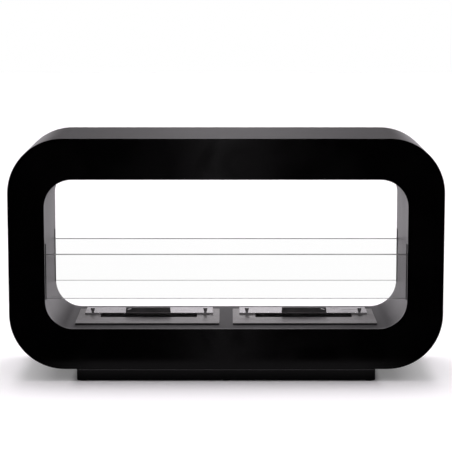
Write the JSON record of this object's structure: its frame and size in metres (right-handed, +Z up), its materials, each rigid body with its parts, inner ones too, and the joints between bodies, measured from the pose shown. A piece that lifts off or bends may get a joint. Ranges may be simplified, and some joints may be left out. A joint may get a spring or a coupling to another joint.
{
  "type": "fireplace",
  "caption": "Free-standing see-through ethanol fireplace: rounded black ring on a low plinth, long burners with sliding lids, and low glass guards front and rear.",
  "frame": {"origin": "on the floor, under the centre of the plinth", "axes": "+X to the right along the width, front towards -Y, +Z up"},
  "size_m": [1.2, 0.35, 0.676],
  "materials": {
    "gloss_black": "gloss black lacquer",
    "satin_anthracite": "satin anthracite powder coat",
    "brushed_plate": "brushed stainless",
    "polished_lid": "polished stainless",
    "polished_knob": "polished",
    "handle_black": "satin black",
    "tank_steel": "heat-darkened steel",
    "frame_steel": "galvanised sheet",
    "zinc_fixings": "zinc plated",
    "channel_black": "satin black",
    "black_rubber": "matt",
    "clear_glass": "clear tempered",
    "ceramic_wool": "felted mineral fibre"
  },
  "bodies": {
    "body": {"outer_shell": "satin_anthracite", "inner_lining": "satin_anthracite", "top_ribs": "frame_steel", "side_ribs": "frame_steel", "hearth_joist_front": "frame_steel", "hearth_joist_rear": "frame_steel", "hearth_cross_rib": "frame_steel", "front_fascia_brackets": "frame_steel", "rear_fascia_brackets": "frame_steel", "fascia_nuts": "zinc_fixings", "plinth": "gloss_black", "plinth_bolts": "zinc_fixings", "plinth_nuts": "zinc_fixings", "plinth_base": "gloss_black", "plinth_posts": "zinc_fixings", "base_screws": "zinc_fixings", "glide_pads": "black_rubber", "front_fascia": "gloss_black", "rear_fascia": "gloss_black", "burner_well_left": "frame_steel", "burner_well_right": "frame_steel", "glass_channel_front_left": "channel_black", "glass_channel_front_right": "channel_black", "glass_channel_rear_left": "channel_black", "glass_channel_rear_right": "channel_black", "channel_seal_front_left": "black_rubber", "channel_seal_front_right": "black_rubber", "channel_seal_rear_left": "black_rubber", "channel_seal_rear_right": "black_rubber"},
    "burner_left": {"burner_plate_left": "brushed_plate", "plate_gasket_left": "black_rubber", "fuel_tank_left": "tank_steel", "tank_nuts_left": "zinc_fixings", "wool_pack_left": "ceramic_wool", "wool_grid_left": "tank_steel"},
    "sliding_lid_left": {"lid_left": "polished_lid", "lid_handle_left": "handle_black", "lid_knobs_left": "polished_knob", "handle_screws_left": "zinc_fixings", "guide_pins_left": "zinc_fixings", "guide_nuts_left": "zinc_fixings"},
    "burner_right": {"burner_plate_right": "brushed_plate", "plate_gasket_right": "black_rubber", "fuel_tank_right": "tank_steel", "tank_nuts_right": "zinc_fixings", "wool_pack_right": "ceramic_wool", "wool_grid_right": "tank_steel"},
    "sliding_lid_right": {"lid_right": "polished_lid", "lid_handle_right": "handle_black", "lid_knobs_right": "polished_knob", "handle_screws_right": "zinc_fixings", "guide_pins_right": "zinc_fixings", "guide_nuts_right": "zinc_fixings"},
    "front_pane": {"front_glass": "clear_glass"},
    "rear_pane": {"rear_glass": "clear_glass"}
  },
  "joints": [
    {"name": "burner_left_lift", "type": "slide", "parent": "body", "child": "burner_left", "axis": [0, 0, 1], "range_m": [0, 0.09]},
    {"name": "lid_left_slide", "type": "slide", "parent": "burner_left", "child": "sliding_lid_left", "axis": [0, -1, 0], "range_m": [0, 0.052]},
    {"name": "burner_right_lift", "type": "slide", "parent": "body", "child": "burner_right", "axis": [0, 0, 1], "range_m": [0, 0.09]},
    {"name": "lid_right_slide", "type": "slide", "parent": "burner_right", "child": "sliding_lid_right", "axis": [0, -1, 0], "range_m": [0, 0.052]},
    {"name": "front_pane_lift", "type": "slide", "parent": "body", "child": "front_pane", "axis": [0, 0, 1], "range_m": [0, 0.025]},
    {"name": "rear_pane_lift", "type": "slide", "parent": "body", "child": "rear_pane", "axis": [0, 0, 1], "range_m": [0, 0.025]}
  ]
}
